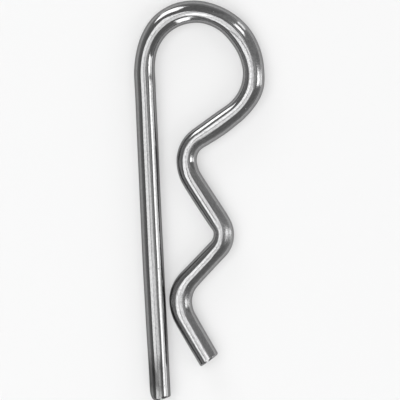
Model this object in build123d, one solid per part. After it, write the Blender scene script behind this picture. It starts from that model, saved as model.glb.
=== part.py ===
from build123d import *
import os
from math import cos, radians, sin, tan

# A hairpin cotter, bent from one length of round spring wire. The straight leg goes
# through the hole in a shaft, and the bent leg snaps round the outside of the shaft.
# Lengths are millimetres and angles are degrees. Every bend has the radius of its
# inner side, which is that of the pin that the wire was bent round.

# Wire
wire_diameter = 4.0

# Straight leg, from its tip to the start of the pull loop
leg_length = 60.5
tip_slant = 14.0
tip_roll_radius = 1.2
tip_roll_height = 1.4
tip_roll_slope = 15.0
tip_break = 0.25

# Pull loop, which opens out of the leg in an easy curve and then runs on in three arcs
lead_inside_radius = 15.6
lead_turn = 19.0
crown_inside_radius = 7.1
crown_turn = 90.5
shoulder_inside_radius = 10.0
shoulder_turn = 70.5
return_inside_radius = 7.4

# Bent leg: the slope of each run is measured from the straight leg's direction,
# and the gaps are clear distances from the straight leg's near side
return_slope = 58.0
neck_gap = 3.2
neck_inside_radius = 3.5
seat_upper_slope = 29.5
seat_gap = 9.45
seat_inside_radius = 1.9
seat_lower_slope = 46.0
toe_gap = 0.75
toe_inside_radius = 4.0
lead_in_slope = 27.0
lead_in_length = 9.2
end_slant = 6.5
end_break = 0.15

wire_radius = wire_diameter / 2
trim = wire_diameter


def straight(path, length):
    """Carry the wire's centreline straight on."""
    end = path[-1] @ 1
    path.append(Line(end, end + length * (path[-1] % 1)))


def bend(path, inside_radius, turn):
    """Carry the centreline round a pin: a positive turn is to the left."""
    path.append(JernArc(path[-1] @ 1, path[-1] % 1, inside_radius + wire_radius, turn))


def straight_to_bend(path, inside_radius, slope, peak_x):
    """Carry the centreline straight on, to where a bend would just reach peak_x."""
    bend_reach = (inside_radius + wire_radius) * (1 - cos(radians(slope)))
    to_peak = abs((path[-1] @ 1).X - peak_x)
    straight(path, (to_peak - bend_reach) / sin(radians(slope)))


def bend_pull_loop(path):
    """The loop that a finger or a hook pulls: it ends sloping back to the leg."""
    bend(path, lead_inside_radius, -lead_turn)
    bend(path, crown_inside_radius, -crown_turn)
    bend(path, shoulder_inside_radius, -shoulder_turn)
    return_turn = 180 + return_slope - lead_turn - crown_turn - shoulder_turn
    bend(path, return_inside_radius, -return_turn)


def bend_gripping_leg(path):
    """The neck, the seat that hugs the shaft, the toe and the lead-in after it."""
    neck_x = wire_diameter + neck_gap
    straight_to_bend(path, neck_inside_radius, return_slope, neck_x)
    bend(path, neck_inside_radius, return_slope + seat_upper_slope)

    seat_x = wire_diameter + seat_gap
    straight_to_bend(path, seat_inside_radius, seat_upper_slope, seat_x)
    bend(path, seat_inside_radius, -seat_upper_slope - seat_lower_slope)

    toe_x = wire_diameter + toe_gap
    straight_to_bend(path, toe_inside_radius, seat_lower_slope, toe_x)
    bend(path, toe_inside_radius, seat_lower_slope + lead_in_slope)
    straight(path, lead_in_length + trim)


def make_centreline():
    """The wire's centreline up, round and back down, with a trim's length over at each end."""
    path = [Line((0, -trim), (0, leg_length))]
    bend_pull_loop(path)
    bend_gripping_leg(path)
    return Wire(path)


def make_tip_waste():
    """What the shear took off the straight leg: its blade rolled the far corner over."""
    beside = wire_radius + trim / 2
    above = trim / 2
    below = -2 * trim
    rise = tan(radians(tip_slant))
    lean = tan(radians(tip_roll_slope))
    left = -wire_radius + tip_roll_height * lean
    right = wire_radius - tip_break
    sheared = FilletPolyline(
        (left - (tip_roll_height + above) * lean, left * rise + tip_roll_height + above),
        (left, left * rise),
        (right, right * rise),
        (beside, right * rise + above),
        radius=(tip_roll_radius, tip_break),
    )
    outside = Polyline(sheared @ 1, (beside, below), (-beside, below), sheared @ 0)
    return extrude(make_face([sheared, outside]), amount=trim, both=True)


def trim_lead_in(wire, centreline):
    """Cut the bent leg's end a little off square, and take its sharp edge off."""
    direction = centreline % 1
    end = centreline @ 1 - trim * direction
    cut = Plane(end, x_dir=direction.rotate(Axis.Z, end_slant), z_dir=(0, 0, 1))
    size = 3 * wire_diameter
    waste = cut * Box(size, size, size, align=(Align.MIN, Align.CENTER, Align.CENTER))
    wire = wire - waste
    end_face = wire.faces().sort_by_distance(end)[0]
    return fillet(end_face.edges(), end_break)


def bend_wire():
    """Sweep the wire's round section along its centreline and trim both ends."""
    centreline = make_centreline()
    start = Plane(origin=centreline @ 0, x_dir=(1, 0, 0), z_dir=centreline % 0)
    wire = sweep(start * Circle(wire_radius), path=centreline)
    return trim_lead_in(wire - make_tip_waste(), centreline)


def stand_on_floor(piece):
    """Put the middle of the piece's footprint at the origin, with the piece on z = 0."""
    box = piece.bounding_box()
    middle = box.center()
    return Pos(-middle.X, -middle.Y, -box.min.Z) * piece


os.makedirs("parts", exist_ok=True)
hairpin_wire = stand_on_floor(bend_wire())
export_step(hairpin_wire, "parts/hairpin_wire.step")
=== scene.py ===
from bisect import bisect
from math import cos, pi, radians, sin, sqrt, tan

import bmesh
import bpy
from mathutils import Matrix, Vector


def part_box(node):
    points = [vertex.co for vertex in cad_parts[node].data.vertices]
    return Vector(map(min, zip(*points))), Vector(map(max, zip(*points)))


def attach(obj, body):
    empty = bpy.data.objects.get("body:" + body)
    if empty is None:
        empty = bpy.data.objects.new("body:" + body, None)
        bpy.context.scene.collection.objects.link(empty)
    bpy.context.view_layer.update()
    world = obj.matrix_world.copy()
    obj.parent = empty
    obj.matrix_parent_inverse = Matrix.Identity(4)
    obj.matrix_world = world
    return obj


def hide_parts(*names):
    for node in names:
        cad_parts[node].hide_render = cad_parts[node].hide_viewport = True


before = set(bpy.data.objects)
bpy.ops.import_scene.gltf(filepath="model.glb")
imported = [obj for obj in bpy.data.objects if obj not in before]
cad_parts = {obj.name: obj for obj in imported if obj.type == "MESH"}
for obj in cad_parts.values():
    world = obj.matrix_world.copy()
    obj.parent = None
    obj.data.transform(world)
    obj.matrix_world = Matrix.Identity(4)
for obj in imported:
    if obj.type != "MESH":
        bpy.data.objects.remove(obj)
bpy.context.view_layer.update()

bl_info = {
    "name": "Hairpin Cotter",
    "version": (1, 0, 0),
    "blender": (4, 5, 0),
    "location": "View3D > Sidebar > Hairpin",
    "description": "Bends a hairpin cotter from round spring wire and lays it in a small studio",
    "category": "Add Mesh",
}

NODE = "hairpin_wire"
PIECE = "bent_wire"
MM = 0.001


def length(name, description, millimetres):
    """A length that a user may change."""
    return bpy.props.FloatProperty(
        name=name, description=description, default=millimetres * MM, unit="LENGTH", precision=5
    )


def angle(name, description, degrees):
    """An angle that a user may change."""
    return bpy.props.FloatProperty(
        name=name, description=description, default=radians(degrees), subtype="ANGLE"
    )


def number(name, description, value):
    """A plain number that a user may change."""
    return bpy.props.FloatProperty(name=name, description=description, default=value, precision=4)


def colour(name, description, value):
    """A colour that a user may change."""
    return bpy.props.FloatVectorProperty(
        name=name, description=description, default=value, subtype="COLOR", size=3, min=0, max=1
    )


class HairpinSizes(bpy.types.PropertyGroup):
    """Sizes of the bent wire. Bend radii are those of the bends' inner sides."""

    wire_diameter: length("Wire Diameter", "Thickness of the round wire", 4.0)
    leg_length: length("Leg Length", "Straight leg, from its tip to the pull loop", 60.5)
    tip_slant: angle("Tip Slant", "How far the tip's shear is off square", 14.0)
    tip_roll_radius: length("Tip Roll Radius", "Rounding that the shear pressed on the tip", 1.2)
    tip_roll_height: length("Tip Roll Height", "How far up the leg that rounding starts", 1.4)
    tip_roll_slope: angle("Tip Roll Slope", "Slope of the rounding's upper side", 15.0)
    tip_break: length("Tip Edge Break", "Rounding of the tip's edge", 0.25)
    lead_inside_radius: length("Lead Radius", "First, easy bend of the pull loop", 15.6)
    lead_turn: angle("Lead Turn", "Turn of the loop's first bend", 19.0)
    crown_inside_radius: length("Crown Radius", "Bend over the top of the loop", 7.1)
    crown_turn: angle("Crown Turn", "Turn over the top of the loop", 90.5)
    shoulder_inside_radius: length("Shoulder Radius", "Bend down the loop's outer side", 10.0)
    shoulder_turn: angle("Shoulder Turn", "Turn down the loop's outer side", 70.5)
    return_inside_radius: length("Return Radius", "Bend that leads back to the leg", 7.4)
    return_slope: angle("Return Slope", "Slope of the run back to the leg", 58.0)
    neck_gap: length("Neck Gap", "Clear gap between the leg and the neck", 3.2)
    neck_inside_radius: length("Neck Radius", "Bend at the neck", 3.5)
    seat_upper_slope: angle("Upper Seat Slope", "Slope of the run down to the seat", 29.5)
    seat_gap: length("Seat Gap", "Clear gap between the leg and the seat's inner side", 9.45)
    seat_inside_radius: length("Seat Radius", "Bend that hugs the shaft", 1.9)
    seat_lower_slope: angle("Lower Seat Slope", "Slope of the run from the seat to the toe", 46.0)
    toe_gap: length("Toe Gap", "Clear gap between the leg and the toe", 0.75)
    toe_inside_radius: length("Toe Radius", "Bend at the toe", 4.0)
    lead_in_slope: angle("Lead-in Slope", "Slope of the last run", 27.0)
    lead_in_length: length("Lead-in Length", "Length of the last run", 9.2)
    end_slant: angle("End Slant", "How far the bent leg's cut is off square", 6.5)
    end_break: length("End Edge Break", "Rounding of the bent leg's cut edge", 0.32)
    sides: bpy.props.IntProperty(name="Sides", description="Faces round the wire", default=96)
    ring_spacing: length("Ring Spacing", "Distance between rings along the wire", 0.25)


class HairpinFinish(bpy.types.PropertyGroup):
    """Colours and finish of the drawn wire and of its sheared ends."""

    steel: colour("Steel", "Bright drawn wire", (0.34, 0.34, 0.342))
    handled_steel: colour("Handled Steel", "Straight leg, duller from use", (0.28, 0.28, 0.281))
    dull_steel: colour("Dull Steel", "Wire with residue in its marks", (0.20, 0.20, 0.20))
    # Colour that the foot of the straight leg is drawn darker towards
    darkened_foot_steel: colour("Darkened Foot Steel", "Colour that the straight leg's foot is darkened to", (0.08, 0.08, 0.08))
    sheared_steel: colour("Sheared Steel", "Metal of the cut faces", (0.30, 0.30, 0.30))
    edge_tint: colour("Edge Tint", "How much the metal brightens at its rims", (0.4, 0.4, 0.4))
    roughness: number("Roughness", "Roughness of the bright wire", 0.07)
    draw_mark_depth: length("Draw Mark Depth", "Depth of the marks of drawing", 0.008)
    nick_depth: length("Nick Depth", "Depth of the handling nicks", 0.02)
    ripple_depth: length("Ripple Depth", "Depth of the fine ripples in the bends", 0.008)
    shear_depth: length("Shear Depth", "Depth of the marks on the cut faces", 0.10)


class HairpinStudio(bpy.types.PropertyGroup):
    """Floor, lamps and camera."""

    floor: colour("Floor", "Colour of the pale floor", (0.47, 0.47, 0.47))
    floor_glow: number("Floor Glow", "White that the floor adds where it is seen", 0.39)
    floor_size: length("Floor Size", "Side of the floor", 4000.0)
    room: number("Room Light", "Strength of the dim room overhead, round the lamps", 0.29)
    room_walls: number("Wall Light", "Strength of the room's walls, near the horizon", 0.5)
    lamp_distance: length("Lamp Distance", "Distance of the lamps from the clip", 1200.0)
    view_roll: angle("View Roll", "Lean of the clip in the picture", 2.79)
    view_height: length("View Height", "Distance of the camera from the clip", 625.0)
    view_width: length("View Width", "Width of the picture at the clip", 74.95)
    view_x: length("View Across", "Middle of the picture, across the clip", -1.024)
    view_y: length("View Along", "Middle of the picture, along the clip", -0.143)


class Pencil:
    """Draws the wire's centreline as runs and arcs that join smoothly."""

    def __init__(self, start, heading, wire_radius, step):
        self.points = [Vector(start)]
        self.headings = [heading]
        self.along = [0.0]
        self.wire_radius = wire_radius
        self.step = step

    @property
    def heading(self):
        """The way that the centreline points now, as an angle."""
        return self.headings[-1]

    def direction(self):
        """The way that the centreline points now."""
        return Vector((cos(self.heading), sin(self.heading), 0))

    def add(self, point, heading):
        """Carry the centreline on to a point."""
        self.along.append(self.along[-1] + (point - self.points[-1]).length)
        self.points.append(point)
        self.headings.append(heading)

    def straight(self, distance):
        """Carry the centreline straight on."""
        self.add(self.points[-1] + distance * self.direction(), self.heading)

    def bend(self, inside_radius, turn):
        """Carry the centreline round a pin: a positive turn is to the left."""
        radius = inside_radius + self.wire_radius
        side = 1 if turn > 0 else -1
        start = self.heading
        to_centre = Vector((-sin(start), cos(start), 0)) * radius * side
        centre = self.points[-1] + to_centre
        steps = max(2, round(radius * abs(turn) / self.step))
        for i in range(1, steps + 1):
            turned = turn * i / steps
            spoke = Matrix.Rotation(turned, 3, "Z") @ -to_centre
            self.add(centre + spoke, start + turned)

    def straight_to_bend(self, inside_radius, slope, peak_x):
        """Carry the centreline straight on, to where a bend would just reach peak_x."""
        bend_reach = (inside_radius + self.wire_radius) * (1 - cos(slope))
        to_peak = abs(self.points[-1].x - peak_x)
        self.straight((to_peak - bend_reach) / sin(slope))


def draw_centreline(sizes):
    """The wire's centreline, drawn from the straight leg's tip to the lead-in's end."""
    wire = sizes.wire_diameter
    pencil = Pencil((0, 0, wire / 2), pi / 2, wire / 2, sizes.ring_spacing)
    pencil.straight(sizes.leg_length)
    pencil.bend(sizes.lead_inside_radius, -sizes.lead_turn)
    pencil.bend(sizes.crown_inside_radius, -sizes.crown_turn)
    pencil.bend(sizes.shoulder_inside_radius, -sizes.shoulder_turn)
    turned = sizes.lead_turn + sizes.crown_turn + sizes.shoulder_turn
    pencil.bend(sizes.return_inside_radius, turned - pi - sizes.return_slope)

    pencil.straight_to_bend(sizes.neck_inside_radius, sizes.return_slope, wire + sizes.neck_gap)
    pencil.bend(sizes.neck_inside_radius, sizes.return_slope + sizes.seat_upper_slope)
    pencil.straight_to_bend(
        sizes.seat_inside_radius, sizes.seat_upper_slope, wire + sizes.seat_gap
    )
    pencil.bend(sizes.seat_inside_radius, -sizes.seat_upper_slope - sizes.seat_lower_slope)
    pencil.straight_to_bend(sizes.toe_inside_radius, sizes.seat_lower_slope, wire + sizes.toe_gap)
    pencil.bend(sizes.toe_inside_radius, sizes.seat_lower_slope + sizes.lead_in_slope)
    pencil.straight(sizes.lead_in_length)
    return pencil


def add_curve(name, points):
    """A poly curve through the points."""
    data = bpy.data.curves.new(name, "CURVE")
    data.dimensions = "3D"
    spline = data.splines.new("POLY")
    spline.points.add(len(points) - 1)
    for spot, point in zip(spline.points, points):
        spot.co = (*point, 1)
    curve = bpy.data.objects.new(name, data)
    bpy.context.scene.collection.objects.link(curve)
    return curve


def add_node(tree, kind, inputs=None, **settings):
    """A node of a tree, with its settings, and with sockets or values on its inputs."""
    node = tree.nodes.new(kind)
    for key, value in settings.items():
        setattr(node, key, value)
    for key, value in (inputs or {}).items():
        if isinstance(value, bpy.types.NodeSocket):
            tree.links.new(value, node.inputs[key])
        else:
            node.inputs[key].default_value = value
    return node


def capture(tree, geometry, kind, label, value):
    """Keep a value on the geometry's points, so that the swept mesh still has it."""
    node = add_node(tree, "GeometryNodeCaptureAttribute")
    node.capture_items.new(kind, label)
    tree.links.new(geometry, node.inputs["Geometry"])
    tree.links.new(value, node.inputs[label])
    return node.outputs


def build_sweep_tree(material):
    """Geometry Nodes that sweep a round section along a centreline."""
    tree = bpy.data.node_groups.new("wire_sweep", "GeometryNodeTree")
    new_socket = tree.interface.new_socket
    new_socket("Centreline", in_out="INPUT", socket_type="NodeSocketGeometry")
    new_socket("Wire Radius", in_out="INPUT", socket_type="NodeSocketFloat")
    new_socket("Sides", in_out="INPUT", socket_type="NodeSocketInt")
    new_socket("Ring Spacing", in_out="INPUT", socket_type="NodeSocketFloat")
    new_socket("Wire", in_out="OUTPUT", socket_type="NodeSocketGeometry")
    given = add_node(tree, "NodeGroupInput").outputs

    inputs = {"Curve": given["Centreline"], "Length": given["Ring Spacing"]}
    rings = add_node(tree, "GeometryNodeResampleCurve", inputs, mode="LENGTH").outputs[0]
    flat = add_node(tree, "GeometryNodeSetCurveNormal", {"Curve": rings}, mode="Z_UP").outputs[0]
    reach = add_node(tree, "GeometryNodeSplineParameter").outputs["Length"]
    path = capture(tree, flat, "FLOAT", "Along", reach)

    inputs = {"Resolution": given["Sides"], "Radius": given["Wire Radius"]}
    circle = add_node(tree, "GeometryNodeCurvePrimitiveCircle", inputs).outputs["Curve"]
    spot = add_node(tree, "GeometryNodeInputPosition").outputs[0]
    section = capture(tree, circle, "VECTOR", "Around", spot)

    inputs = {"Curve": path["Geometry"], "Profile Curve": section["Geometry"]}
    swept = add_node(tree, "GeometryNodeCurveToMesh", inputs).outputs["Mesh"]
    around = add_node(tree, "ShaderNodeSeparateXYZ", {0: section["Around"]}).outputs
    inputs = {"X": path["Along"], "Y": around["X"], "Z": around["Y"]}
    place = add_node(tree, "ShaderNodeCombineXYZ", inputs).outputs[0]
    inputs = {"Geometry": swept, "Name": "wire_place", "Value": place}
    kind = "GeometryNodeStoreNamedAttribute"
    placed = add_node(tree, kind, inputs, data_type="FLOAT_VECTOR", domain="POINT").outputs[0]

    smooth = add_node(tree, "GeometryNodeSetShadeSmooth", {0: placed}).outputs[0]
    real = add_node(tree, "GeometryNodeRealizeInstances", {0: smooth}).outputs[0]
    inputs = {"Geometry": real, "Material": material}
    coated = add_node(tree, "GeometryNodeSetMaterial", inputs).outputs[0]
    add_node(tree, "NodeGroupOutput", {0: coated})
    return tree


def sweep_wire(sizes, pencil, material):
    """The swept wire as a plain mesh, with open ends."""
    curve = add_curve("wire_centreline", pencil.points)
    tree = build_sweep_tree(material)
    modifier = curve.modifiers.new("sweep", "NODES")
    modifier.node_group = tree
    inputs = {
        "Wire Radius": sizes.wire_diameter / 2,
        "Sides": sizes.sides,
        "Ring Spacing": sizes.ring_spacing,
    }
    for item in tree.interface.items_tree:
        if item.name in inputs:
            modifier[item.identifier] = inputs[item.name]
    bpy.context.view_layer.update()
    graph = bpy.context.evaluated_depsgraph_get()
    mesh = bpy.data.meshes.new_from_object(curve.evaluated_get(graph))
    bpy.data.objects.remove(curve)
    return mesh


def tip_cut(sizes):
    """How far into the leg the sheared tip lies, across the wire from its left to its right."""
    radius = sizes.wire_diameter / 2
    rise = tan(sizes.tip_slant)
    lean = tan(sizes.tip_roll_slope)
    corner_x = -radius + sizes.tip_roll_height * lean
    corner_y = corner_x * rise
    opening = pi / 2 + sizes.tip_roll_slope - sizes.tip_slant
    tangent = sizes.tip_roll_radius / tan(opening / 2)
    start_x = corner_x - tangent * sin(sizes.tip_roll_slope)
    end_x = corner_x + tangent * cos(sizes.tip_slant)
    centre_x = end_x - sizes.tip_roll_radius * sin(sizes.tip_slant)
    centre_y = end_x * rise + sizes.tip_roll_radius * cos(sizes.tip_slant)

    def depth(x):
        if x < start_x:
            return corner_y + (corner_x - x) / lean
        if x < end_x:
            return centre_y - sqrt(sizes.tip_roll_radius**2 - (x - centre_x) ** 2)
        return x * rise

    return depth


# How much more the tip's edge is rounded at its far left than at its far right
TIP_EXTRA_ROUNDING = 2


def tip_rounding(sizes):
    """The tip's edge, which the shear rolled over at its left and left sharper at its right."""
    radius = sizes.wire_diameter / 2

    def rounding(x):
        share = (1 - x / radius) / 2
        return sizes.tip_break * (1 + TIP_EXTRA_ROUNDING * share * share)

    return rounding


def end_cut(sizes):
    """How far into the bent leg its cut lies, across the wire."""

    def depth(x):
        return x * tan(sizes.end_slant)

    return depth


def end_rounding(sizes):
    """The bent leg's cut edge, evenly broken."""

    def rounding(x):
        return sizes.end_break

    return rounding


# Vertices of an end: how far they lie back along the wire, and out from its axis, in radii
END_REACH = 2
END_GIRTH = 1.1

# Rings that close an end: how many go round its rounded edge, and where each one lies on its
# face, as a share of the face's radius
EDGE_RINGS = 6
FACE_RINGS = (0.93, 0.85, 0.75, 0.62, 0.48, 0.32, 0.16)

# How far round the rounded edge the finish of the cut starts, as a share of the edge
SHEARED_FROM = 1 / 3


def close_end(work, layers, rim, centre, outward, depth, rounding, radius):
    """Slide an open end to its slanted cut, and close it with a rounded edge and a face."""
    place, sheared = layers
    across = Vector((-outward.y, outward.x, 0))
    reach = END_REACH * radius
    for vert in work.verts:
        offset = vert.co - centre
        inward = -offset.dot(outward)
        if inward < reach and (offset + inward * outward).length < END_GIRTH * radius:
            x = offset.dot(across)
            vert.co -= outward * (depth(x) + rounding(x)) * (1 - inward / reach)

    spokes = [(vert.co - centre).dot(across) / radius for vert in rim]
    heights = [(vert.co - centre).z / radius for vert in rim]
    along = rim[0][place].x
    steps = [(t * pi / 2 / EDGE_RINGS, 1) for t in range(1, EDGE_RINGS + 1)]
    steps += [(pi / 2, share) for share in FACE_RINGS]
    for turned, share in steps:
        ring = []
        for side, up in zip(spokes, heights):
            edge = rounding(side * radius)
            ring_radius = (radius - edge * (1 - cos(turned))) * share
            x = side * ring_radius
            inset = depth(x) + edge * (1 - sin(turned))
            spot = centre + across * x + Vector((0, 0, up * ring_radius))
            vert = work.verts.new(spot - outward * inset)
            vert[place] = (along, x, up * ring_radius)
            vert[sheared] = max(0, (turned * 2 / pi - SHEARED_FROM) / (1 - SHEARED_FROM))
            ring.append(vert)
        for i, vert in enumerate(ring):
            following = (i + 1) % len(ring)
            work.faces.new((rim[i], rim[following], ring[following], vert))
        rim = ring
    hub = work.verts.new(centre - outward * depth(0))
    hub[place] = (along, 0, 0)
    hub[sheared] = 1
    for i, vert in enumerate(rim):
        work.faces.new((vert, rim[(i + 1) % len(rim)], hub))


def open_loops(work):
    """The open edge loops of the mesh, each as its vertices in order."""
    # A dict keeps the edges' order, as a set doesn't, so that every run gives the same mesh
    left = dict.fromkeys(edge for edge in work.edges if edge.is_boundary)
    loops = []
    while left:
        first, last = left.popitem()[0].verts
        loop = [first, last]
        while True:
            following = next((edge for edge in last.link_edges if edge in left), None)
            if following is None:
                break
            del left[following]
            last = following.other_vert(last)
            if last is first:
                break
            loop.append(last)
        loops.append(loop)
    return loops


def finish_ends(mesh, sizes, pencil):
    """Close both ends of the swept wire as their shears left them."""
    radius = sizes.wire_diameter / 2
    tip_way, end_way = Vector((0, -1, 0)), pencil.direction()
    ends = (
        (pencil.points[0], tip_way, tip_cut(sizes), tip_rounding(sizes)),
        (pencil.points[-1], end_way, end_cut(sizes), end_rounding(sizes)),
    )
    work = bmesh.new()
    work.from_mesh(mesh)
    layers = (work.verts.layers.float_vector["wire_place"], work.verts.layers.float.new("sheared"))
    loops = open_loops(work)
    for centre, outward, depth, rounding in ends:
        loop = min(loops, key=lambda verts: (verts[0].co - centre).length)
        close_end(work, layers, loop, centre, outward, depth, rounding, radius)
    bmesh.ops.recalc_face_normals(work, faces=work.faces)
    for face in work.faces:
        face.smooth = True
    work.to_mesh(mesh)
    work.free()


def seat_on_frame(mesh):
    """Put the wire where the CAD node lies, and say how far it moved."""
    low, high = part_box(NODE)
    spots = [vert.co for vert in mesh.vertices]
    lowest = Vector([min(spot[i] for spot in spots) for i in range(3)])
    highest = Vector([max(spot[i] for spot in spots) for i in range(3)])
    shift = (low + high) / 2 - (lowest + highest) / 2
    mesh.transform(Matrix.Translation(shift))
    return shift


# What bending did to the wire's round section: distance along the wire, then how far its left
# and its right side stand out, and how far its crest lies to the right, in millimetres
BENDING_MARKS = (
    (0, -0.16, 0.01, 0),
    (6, -0.14, 0, 0),
    (12, -0.05, 0.01, 0),
    (18, 0, -0.04, 0),
    (26, 0.05, -0.04, 0),
    (34, 0.02, -0.06, 0),
    (42, -0.01, -0.04, 0),
    (50, -0.04, 0.01, 0),
    (57, -0.08, 0, 0),
    (60, -0.06, 0.02, 0),
    (65, -0.11, -0.12, 0),
    (68, -0.09, 0.03, 0.11),
    (71, 0.07, 0.14, 0.26),
    (74, 0.09, 0.22, 0.28),
    (77, 0.02, 0.22, 0.28),
    (81, -0.06, 0.11, 0.26),
    (84, -0.01, 0.13, 0.22),
    (88, 0.06, 0.30, 0.13),
    (92, -0.03, 0.24, 0.15),
    (95.5, -0.10, 0.14, 0.17),
    (98.5, 0.08, 0.16, 0.17),
    (103, -0.15, 0.18, 0.04),
    (108, 0.11, 0.17, 0),
    (112, -0.04, 0.09, 0),
    (115, -0.30, 0.08, 0.07),
    (117, -0.24, 0.02, 0.09),
    (119, -0.09, -0.04, 0.04),
    (122, -0.12, 0.09, 0),
    (126, -0.07, 0.08, 0),
    (130, -0.01, 0.01, 0.09),
    (132, -0.10, -0.09, 0.37),
    (134, -0.12, -0.01, 0.56),
    (136, -0.12, 0.04, 0.28),
    (138.5, -0.13, 0.06, 0),
    (143, -0.10, 0.11, 0),
    (147.5, 0.07, 0.22, 0.06),
    (150, 0.11, 0.08, 0.04),
    (153, 0.03, 0.10, 0),
    (157, 0.04, 0.07, 0),
    (160.5, 0.06, 0.01, 0),
)


def read_marks(along):
    """How bending pressed the wire at a place along it, smoothly between the marks."""
    last = len(BENDING_MARKS) - 1
    i = bisect(BENDING_MARKS, (along / MM,)) - 1
    i = max(0, min(last - 1, i))
    around = (max(i - 1, 0), i, i + 1, min(i + 2, last))
    before, low, high, after = (Vector(BENDING_MARKS[k]) * MM for k in around)
    step = high[0] - low[0]
    t = max(0, min(1, (along - low[0]) / step))
    leaving = (high - before) * step / (high[0] - before[0])
    arriving = (after - low) * step / (after[0] - low[0])
    reading = low * (2 * t**3 - 3 * t**2 + 1) + high * (3 * t**2 - 2 * t**3)
    reading += leaving * (t**3 - 2 * t**2 + t) + arriving * (t**3 - t**2)
    return reading[1:]


def press_wire(mesh, sizes, pencil, shift):
    """Press the wire's section out of round, as its bending did."""
    radius = sizes.wire_diameter / 2
    stations = {}
    for vert, place in zip(mesh.vertices, mesh.attributes["wire_place"].data):
        along = round(place.vector.x, 6)
        if along not in stations:
            i = max(0, min(len(pencil.along) - 2, bisect(pencil.along, along) - 1))
            run = pencil.along[i + 1] - pencil.along[i]
            t = max(0, min(1, (along - pencil.along[i]) / run))
            centre = pencil.points[i].lerp(pencil.points[i + 1], t) + shift
            heading = pencil.headings[i] * (1 - t) + pencil.headings[i + 1] * t
            rightward = Vector((sin(heading), -cos(heading), 0))
            stations[along] = (centre, rightward, *read_marks(along))
        centre, rightward, left, right, crest = stations[along]
        offset = vert.co - centre
        side = offset.dot(rightward) / radius
        tilt = crest / radius
        vert.co += rightward * ((right - left) / 2 + side * (right + left) / 2)
        vert.co.z = centre.z + offset.z * (1 + tilt * side) / (1 + tilt * tilt / 2)


def start_group(name, inputs, outputs):
    """A shader node group with its named sockets, and what its input node gives."""
    group = bpy.data.node_groups.new(name, "ShaderNodeTree")
    for label, kind, value in inputs:
        socket = group.interface.new_socket(label, in_out="INPUT", socket_type=kind)
        if value is not None:
            socket.default_value = value
    for label in outputs:
        group.interface.new_socket(label, in_out="OUTPUT", socket_type="NodeSocketFloat")
    return group, add_node(group, "NodeGroupInput").outputs


def ramp(tree, value, low, high):
    """0 below low, 1 above high, and smooth between them."""
    inputs = {"Value": value, "From Min": low, "From Max": high}
    return add_node(tree, "ShaderNodeMapRange", inputs, interpolation_type="SMOOTHSTEP").outputs[0]


def combine(tree, operation, first, second=0.0, third=0.0):
    """A sum, a product or the like."""
    inputs = {0: first, 1: second, 2: third}
    return add_node(tree, "ShaderNodeMath", inputs, operation=operation).outputs[0]


def between(tree, share, at_none, at_full):
    """A value that goes from one number to another as the share goes from 0 to 1."""
    return combine(tree, "MULTIPLY_ADD", share, at_full - at_none, at_none)


def add_shares(tree, start, layers):
    """A number, with a share of each value in turn added to it."""
    total = start
    for value, share in layers:
        total = combine(tree, "MULTIPLY_ADD", value, share, total)
    return total


def stretched_noise(tree, place, along, across, detail=2.0, offset=0.0):
    """Noise with features of one length along the wire and another across it."""
    size = add_node(tree, "ShaderNodeCombineXYZ", {"X": along, "Y": across, "Z": across})
    inputs = {0: place, 1: size.outputs[0]}
    scaled = add_node(tree, "ShaderNodeVectorMath", inputs, operation="DIVIDE")
    inputs = {0: scaled.outputs[0], 1: (offset, offset, offset)}
    moved = add_node(tree, "ShaderNodeVectorMath", inputs, operation="ADD")
    inputs = {"Vector": moved.outputs[0], "Scale": 1.0, "Detail": detail, "Roughness": 0.55}
    return add_node(tree, "ShaderNodeTexNoise", inputs).outputs["Fac"]


# How many fine lines a groove of the drawing die is wide, and how many of its own widths a
# mottle and a shear's drag line are long
GROOVE_WIDTH = 2.6
MOTTLE_LENGTH = 1.7
DRAG_LENGTH = 14.0

# Reach of the smallest and the largest nick, as shares of the cell that each lies in
NICK_REACH = (0.05, 0.13)

# Where the finish changes, in metres, from the start to the end of each change: the first
# three along the wire from its tip, the others across it to its right
HANDLED_TO_BRIGHT = (0.045, 0.105)
DARK_FOOT_TO_PLAIN = (0.0055, 0.0095)
TIP_TO_DARK_FOOT = (0.0004, 0.0028)
DARK_FOOT_TO_RIGHT = (0.0004, 0.0009)
DRAGGED_TO_TORN = (-0.0002, 0.0005)

# Strength of the foot's darkening at its very tip, on its right side, and between its darkest
# patches
FOOT_DARKENING_AT_TIP = 0.4
FOOT_DARKENING_ON_RIGHT = 0.15
FOOT_DARKENING_BETWEEN_PATCHES = 0.75

# Length and width of those patches, in metres
FOOT_DARK_PATCH = (0.004, 0.0009)


def build_draw_marks():
    """Marks that the drawing die left along the wire: fine lines, and a few deeper grooves."""
    inputs = (
        ("Place", "NodeSocketVector", None),
        ("Mark Length", "NodeSocketFloat", 0.012),
        ("Mark Width", "NodeSocketFloat", 0.00012),
    )
    group, given = start_group("draw_marks", inputs, ("Height", "Grooves", "Residue"))
    place, along, across = given["Place"], given["Mark Length"], given["Mark Width"]
    fine = stretched_noise(group, place, along, across)
    wide = combine(group, "MULTIPLY", across, GROOVE_WIDTH)
    broad = stretched_noise(group, place, along, wide, detail=1.0, offset=3.7)
    deep, broken = ramp(group, broad, 0.60, 0.72), ramp(group, fine, 0.4, 0.6)
    grooves = combine(group, "MULTIPLY", deep, broken)
    height = add_shares(group, 0.0, ((broad, 0.45), (fine, 0.25), (grooves, -0.6)))
    residue = ramp(group, fine, 0.45, 0.75)
    inputs = {"Height": height, "Grooves": grooves, "Residue": residue}
    add_node(group, "NodeGroupOutput", inputs)
    return group


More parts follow.
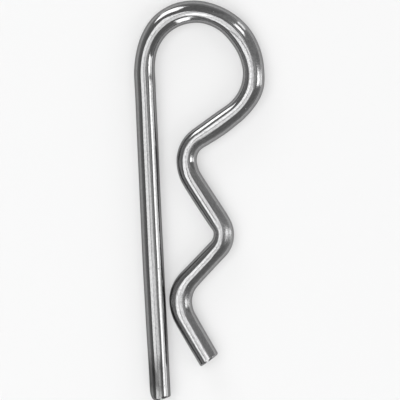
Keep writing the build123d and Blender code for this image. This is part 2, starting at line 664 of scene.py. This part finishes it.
def build_handling_wear():
    """Mottling of a wire that was handled in bulk, and small nicks from its neighbours."""
    inputs = (
        ("Place", "NodeSocketVector", None),
        ("Mottle Size", "NodeSocketFloat", 0.0003),
        ("Nick Size", "NodeSocketFloat", 0.0011),
        ("Nick Share", "NodeSocketFloat", 0.3),
    )
    group, given = start_group("handling_wear", inputs, ("Mottle", "Nicks"))
    place, width = given["Place"], given["Mottle Size"]
    mottle_length = combine(group, "MULTIPLY", width, MOTTLE_LENGTH)
    mottle = stretched_noise(group, place, mottle_length, width, detail=3.0, offset=1.3)
    inputs = {0: place, 1: given["Nick Size"]}
    cells = add_node(group, "ShaderNodeVectorMath", inputs, operation="DIVIDE").outputs[0]
    spots = add_node(group, "ShaderNodeTexVoronoi", {"Vector": cells, "Scale": 1.0}).outputs
    luck = add_node(group, "ShaderNodeSeparateColor", {"Color": spots["Color"]}).outputs
    chosen = combine(group, "LESS_THAN", luck[0], given["Nick Share"])
    reach = between(group, luck[1], *NICK_REACH)
    away = combine(group, "DIVIDE", spots["Distance"], reach)
    near = combine(group, "SUBTRACT", 1.0, away)
    nicks = combine(group, "MULTIPLY", ramp(group, near, 0.0, 0.7), chosen)
    add_node(group, "NodeGroupOutput", {"Mottle": mottle, "Nicks": nicks})
    return group


# Where bending left the wire's skin dull: distance along the wire and reach either way, in
# millimetres, and strength
PIN_MARKS = ((95, 5, 0.5), (115.7, 2.5, 0.7), (132.8, 4, 1), (147.8, 3.2, 1))

# Share of its reach over which such a mark keeps its full strength
WHOLE_PART = 0.2


def build_bend_ripples():
    """Fine ripples across the wire, where the bending pins stretched its skin."""
    inputs = (
        ("Place", "NodeSocketVector", None),
        ("Ripple Length", "NodeSocketFloat", 0.00013),
        ("Ripple Width", "NodeSocketFloat", 0.0011),
    )
    group, given = start_group("bend_ripples", inputs, ("Height", "Stretched"))
    place, size = given["Place"], (given["Ripple Length"], given["Ripple Width"])
    along = add_node(group, "ShaderNodeSeparateXYZ", {0: place}).outputs["X"]
    stretched = 0.0
    for middle, reach, share in PIN_MARKS:
        away = combine(group, "ABSOLUTE", combine(group, "SUBTRACT", along, middle * MM))
        faded = ramp(group, away, reach * MM * WHOLE_PART, reach * MM)
        stretched = combine(group, "MAXIMUM", between(group, faded, share, 0.0), stretched)
    ripples = stretched_noise(group, place, *size, detail=1.0, offset=5.3)
    height = combine(group, "MULTIPLY", ripples, stretched)
    add_node(group, "NodeGroupOutput", {"Height": height, "Stretched": stretched})
    return group


def build_shear_marks():
    """The face that a shear leaves: drag lines on one side, and torn metal on the other."""
    inputs = (
        ("Place", "NodeSocketVector", None),
        ("Line Width", "NodeSocketFloat", 0.00018),
        ("Grain Size", "NodeSocketFloat", 0.0003),
    )
    group, given = start_group("shear_marks", inputs, ("Height", "Torn"))
    place, width, grain_size = given["Place"], given["Line Width"], given["Grain Size"]
    split = add_node(group, "ShaderNodeSeparateXYZ", {0: place}).outputs
    torn = ramp(group, split["Y"], *DRAGGED_TO_TORN)
    face = add_node(group, "ShaderNodeCombineXYZ", {"X": split["Y"], "Y": split["Z"]}).outputs[0]
    drag_length = combine(group, "MULTIPLY", width, DRAG_LENGTH)
    lines = stretched_noise(group, face, drag_length, width)
    grain = stretched_noise(group, place, grain_size, grain_size, detail=4.0)
    inputs = {"Factor": torn, 2: combine(group, "MULTIPLY", lines, 0.5), 3: grain}
    height = add_node(group, "ShaderNodeMix", inputs, data_type="FLOAT").outputs[0]
    add_node(group, "NodeGroupOutput", {"Height": height, "Torn": torn})
    return group


def darken_foot(tree, place, along, side):
    """How much darker the straight leg's foot is drawn: in patches, less at its very tip and on
    its right side.
    """
    ends = ramp(tree, along, *DARK_FOOT_TO_PLAIN)
    at_tip = between(tree, ramp(tree, along, *TIP_TO_DARK_FOOT), FOOT_DARKENING_AT_TIP, 1.0)
    on_right = between(tree, ramp(tree, side, *DARK_FOOT_TO_RIGHT), 1.0, FOOT_DARKENING_ON_RIGHT)
    left = combine(tree, "MULTIPLY", at_tip, on_right)
    darkening = combine(tree, "MULTIPLY", between(tree, ends, 1.0, 0.0), left)
    patches = ramp(tree, stretched_noise(tree, place, *FOOT_DARK_PATCH, offset=9.1), 0.25, 0.6)
    strength = combine(tree, "MAXIMUM", patches, FOOT_DARKENING_BETWEEN_PATCHES)
    return combine(tree, "MULTIPLY", darkening, strength)


def lay_colours(tree, base, layers):
    """A base colour, with other colours laid over it in turn, each by its own share."""
    result = (*base, 1)
    for share, colour_over in layers:
        inputs = {0: share, 6: result, 7: (*colour_over, 1)}
        result = add_node(tree, "ShaderNodeMix", inputs, data_type="RGBA").outputs[2]
    return result


def stack_relief(tree, layers):
    """A normal that follows several heights at once, each at its own depth."""
    normal = None
    for height, depth in layers:
        inputs = {"Height": height, "Distance": depth}
        if normal:
            inputs["Normal"] = normal
        normal = add_node(tree, "ShaderNodeBump", inputs).outputs[0]
    return normal


def build_wire_material(finish):
    """Bright drawn spring wire, dulled in places, with its sheared ends."""
    material = bpy.data.materials.new("drawn_wire")
    material.use_nodes = True
    tree = material.node_tree
    place = add_node(tree, "ShaderNodeAttribute", attribute_name="wire_place").outputs["Vector"]
    sheared = add_node(tree, "ShaderNodeAttribute", attribute_name="sheared").outputs["Fac"]
    groups = build_draw_marks(), build_handling_wear(), build_bend_ripples(), build_shear_marks()
    drawn, worn, bent, cut = (
        add_node(tree, "ShaderNodeGroup", {"Place": place}, node_tree=group).outputs
        for group in groups
    )

    split = add_node(tree, "ShaderNodeSeparateXYZ", {0: place}).outputs
    handled = between(tree, ramp(tree, split["X"], *HANDLED_TO_BRIGHT), 1.0, 0.0)
    # The foot of the straight leg is drawn darker and a little rougher, less so at its very tip
    # and on its right side
    darkened_foot = darken_foot(tree, place, split["X"], split["Y"])
    mottled = ramp(tree, worn["Mottle"], 0.44, 0.6)
    residue = add_shares(tree, 0.0, ((drawn["Residue"], 0.35), (drawn["Grooves"], 0.35)))
    dulled = combine(tree, "MAXIMUM", residue, combine(tree, "MULTIPLY", mottled, 0.4))
    torn = combine(tree, "MULTIPLY", cut["Torn"], sheared)
    wall = between(tree, sheared, 1.0, 0.0)

    colours = (
        (handled, finish.handled_steel),
        (dulled, finish.dull_steel),
        (darkened_foot, finish.darkened_foot_steel),
        (sheared, finish.sheared_steel),
        (combine(tree, "MULTIPLY", torn, 0.6), finish.dull_steel),
    )
    roughened = (
        (drawn["Residue"], 0.05),
        (mottled, 0.03),
        (darkened_foot, 0.10),
        (bent["Stretched"], 0.16),
        (sheared, 0.15),
        (torn, 0.15),
    )
    relief = (
        (combine(tree, "MULTIPLY", drawn["Height"], wall), finish.draw_mark_depth),
        (combine(tree, "MULTIPLY", worn["Nicks"], -1.0), finish.nick_depth),
        (bent["Height"], finish.ripple_depth),
        (combine(tree, "MULTIPLY", cut["Height"], sheared), finish.shear_depth),
    )
    shader = tree.nodes["Principled BSDF"]
    tree.links.new(lay_colours(tree, finish.steel, colours), shader.inputs["Base Color"])
    tree.links.new(add_shares(tree, finish.roughness, roughened), shader.inputs["Roughness"])
    tree.links.new(stack_relief(tree, relief), shader.inputs["Normal"])
    shader.inputs["Metallic"].default_value = 1
    shader.inputs["Specular Tint"].default_value = (*finish.edge_tint, 1)
    return material


class HAIRPIN_OT_bend_wire(bpy.types.Operator):
    """Bend the wire and give it its drawn finish and sheared ends"""

    bl_idname = "hairpin.bend_wire"
    bl_label = "Bend Wire"

    def execute(self, context):
        sizes = context.scene.hairpin_sizes
        pencil = draw_centreline(sizes)
        material = build_wire_material(context.scene.hairpin_finish)
        mesh = sweep_wire(sizes, pencil, material)
        finish_ends(mesh, sizes, pencil)
        press_wire(mesh, sizes, pencil, seat_on_frame(mesh))
        mesh.name = PIECE
        wire = bpy.data.objects.new(PIECE, mesh)
        context.scene.collection.objects.link(wire)
        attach(wire, "root")
        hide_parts(NODE)
        return {"FINISHED"}


# Softboxes hung level overhead: name, then the place of the middle across and along, and the
# short and the long side, as shares of their height, then the way that the long side points,
# in degrees, and radiance
OVERHEAD_LAMPS = (
    ("overhead_left", -0.66, -0.056, 0.56, 1.455, 50, 2.5),
    ("overhead_right", -0.033, -0.179, 0.45, 0.65, 50, 1.8),
    ("overhead_far", -0.419, -0.639, 0.45, 0.55, 50, 2.4),
    ("overhead_front", -0.089, -0.697, 0.13, 0.42, 50, 1.1),
)

# Panels that face the clip: name, then the azimuth of the middle, its angle from straight up,
# width, height and lean, in degrees, and radiance
SIDE_LAMPS = (
    ("crown_panel", -98, 14, 7, 17, 0, 2.7),
    ("right_top", 0, 25, 14, 18, 0, 0.4),
    ("right_strip", -2.5, 55.5, 11.5, 20, 0, 4.0),
    ("right_low", -2.5, 75, 12, 19, 0, 1.5),
    ("right_horizon", -2.5, 87.5, 14, 6, 0, 3.4),
    ("upper_left_strip", 113.5, 66, 20, 30, 56, 3.8),
    ("upper_right_spot", 44, 41, 8, 17, 0, 3.7),
    ("upper_right_low", 44, 78, 9, 20, 0, 2.0),
    ("upper_right_glow", 38, 50, 40, 60, 0, 0.15),
    ("lower_right_strip", -76, 64, 17, 50, 0, 3.6),
)


def hang_lamp(name, place, turn, width, height, radiance):
    """A softbox of even radiance over its face."""
    data = bpy.data.lights.new(name, "AREA")
    data.shape = "RECTANGLE"
    data.size = width
    data.size_y = height
    data.energy = radiance * pi * width * height
    lamp = bpy.data.objects.new(name, data)
    bpy.context.scene.collection.objects.link(lamp)
    lamp.matrix_world = Matrix.LocRotScale(place, turn, None)


def hang_overhead_lamp(studio, name, across, along, short_side, long_side, heading, radiance):
    """A softbox hung level over the clip."""
    distance = studio.lamp_distance
    place = Vector((across, along, 1)) * distance
    turn = Matrix.Rotation(radians(heading) - pi / 2, 3, "Z")
    hang_lamp(name, place, turn, short_side * distance, long_side * distance, radiance)


def hang_side_lamp(studio, name, azimuth, tilt, width, height, lean, radiance):
    """A panel that faces the clip, hung on a dome round it."""
    azimuth, tilt = radians(azimuth), radians(tilt)
    outward = Vector((sin(tilt) * cos(azimuth), sin(tilt) * sin(azimuth), cos(tilt)))
    side = Vector((-sin(azimuth), cos(azimuth), 0))
    turn = Matrix((side, outward.cross(side), outward)).transposed()
    turn = turn @ Matrix.Rotation(radians(lean), 3, "Z")
    distance = studio.lamp_distance
    sizes = [2 * distance * tan(radians(size) / 2) for size in (width, height)]
    hang_lamp(name, outward * distance, turn, *sizes, radiance)


# Where the room's walls give way to its ceiling, as the sine of the angle above the horizon
WALLS_TO_CEILING = (0.05, 0.45)


def light_room(studio):
    """A dim room round the lamps, a little lighter at its walls than overhead."""
    world = bpy.data.worlds.new("room")
    world.use_nodes = True
    tree = world.node_tree
    way = add_node(tree, "ShaderNodeTexCoord").outputs["Generated"]
    rise = add_node(tree, "ShaderNodeSeparateXYZ", {0: way}).outputs["Z"]
    overhead = ramp(tree, rise, *WALLS_TO_CEILING)
    light = between(tree, overhead, studio.room_walls, studio.room)
    background = tree.nodes["Background"]
    background.inputs["Color"].default_value = (1, 1, 1, 1)
    tree.links.new(light, background.inputs["Strength"])
    bpy.context.scene.world = world


def lay_floor(studio):
    """The pale floor that the clip lies on."""
    mesh = bpy.data.meshes.new("floor")
    half = studio.floor_size / 2
    corners = [(-half, -half, 0), (half, -half, 0), (half, half, 0), (-half, half, 0)]
    mesh.from_pydata(corners, [], [(0, 1, 2, 3)])
    floor = bpy.data.objects.new("floor", mesh)
    bpy.context.scene.collection.objects.link(floor)
    material = bpy.data.materials.new("floor_paper")
    material.use_nodes = True
    tree = material.node_tree
    shader = tree.nodes["Principled BSDF"]
    shader.inputs["Base Color"].default_value = (*studio.floor, 1)
    shader.inputs["Roughness"].default_value = 1
    shader.inputs["Specular IOR Level"].default_value = 0
    shader.inputs["Emission Color"].default_value = (1, 1, 1, 1)
    rays = add_node(tree, "ShaderNodeLightPath").outputs
    seen = combine(tree, "MAXIMUM", rays["Is Camera Ray"], rays["Is Glossy Ray"])
    seen = combine(tree, "MAXIMUM", seen, rays["Is Transmission Ray"])
    glow = combine(tree, "MULTIPLY", seen, studio.floor_glow)
    tree.links.new(glow, shader.inputs["Emission Strength"])
    mesh.materials.append(material)


def set_camera(studio, wire_diameter):
    """A camera straight above the clip, turned so that the clip leans as it should."""
    data = bpy.data.cameras.new("camera")
    camera = bpy.data.objects.new("camera", data)
    bpy.context.scene.collection.objects.link(camera)
    data.lens = data.sensor_width * studio.view_height / studio.view_width
    height = wire_diameter / 2 + studio.view_height
    camera.location = (studio.view_x, studio.view_y, height)
    camera.rotation_euler = (0, 0, -studio.view_roll)
    bpy.context.scene.camera = camera


class HAIRPIN_OT_set_stage(bpy.types.Operator):
    """Lay the floor, hang the lamps and set the camera"""

    bl_idname = "hairpin.set_stage"
    bl_label = "Set Stage"

    def execute(self, context):
        studio = context.scene.hairpin_studio
        lay_floor(studio)
        light_room(studio)
        for lamp in OVERHEAD_LAMPS:
            hang_overhead_lamp(studio, *lamp)
        for lamp in SIDE_LAMPS:
            hang_side_lamp(studio, *lamp)
        set_camera(studio, context.scene.hairpin_sizes.wire_diameter)
        context.scene.view_settings.view_transform = "Standard"
        return {"FINISHED"}


class HAIRPIN_PT_panel(bpy.types.Panel):
    """Lists what makes the clip and its stage"""

    bl_label = "Hairpin Cotter"
    bl_idname = "HAIRPIN_PT_panel"
    bl_space_type = "VIEW_3D"
    bl_region_type = "UI"
    bl_category = "Hairpin"

    def draw(self, context):
        layout = self.layout
        for settings in ("hairpin_sizes", "hairpin_finish", "hairpin_studio"):
            group = getattr(context.scene, settings)
            box = layout.box()
            for key in group.__annotations__:
                box.prop(group, key)
        layout.operator(HAIRPIN_OT_bend_wire.bl_idname)
        layout.operator(HAIRPIN_OT_set_stage.bl_idname)


CLASSES = (
    HairpinSizes,
    HairpinFinish,
    HairpinStudio,
    HAIRPIN_OT_bend_wire,
    HAIRPIN_OT_set_stage,
    HAIRPIN_PT_panel,
)


def register():
    """Register the classes and hang the settings on the scene."""
    for item in CLASSES:
        bpy.utils.register_class(item)
    scene = bpy.types.Scene
    scene.hairpin_sizes = bpy.props.PointerProperty(type=HairpinSizes)
    scene.hairpin_finish = bpy.props.PointerProperty(type=HairpinFinish)
    scene.hairpin_studio = bpy.props.PointerProperty(type=HairpinStudio)


def unregister():
    """Take away what register added."""
    del bpy.types.Scene.hairpin_studio
    del bpy.types.Scene.hairpin_finish
    del bpy.types.Scene.hairpin_sizes
    for item in reversed(CLASSES):
        bpy.utils.unregister_class(item)


def main():
    """Register the add-on, and build the clip and its stage."""
    register()
    bpy.ops.hairpin.bend_wire()
    bpy.ops.hairpin.set_stage()


if __name__ == "__main__":
    main()
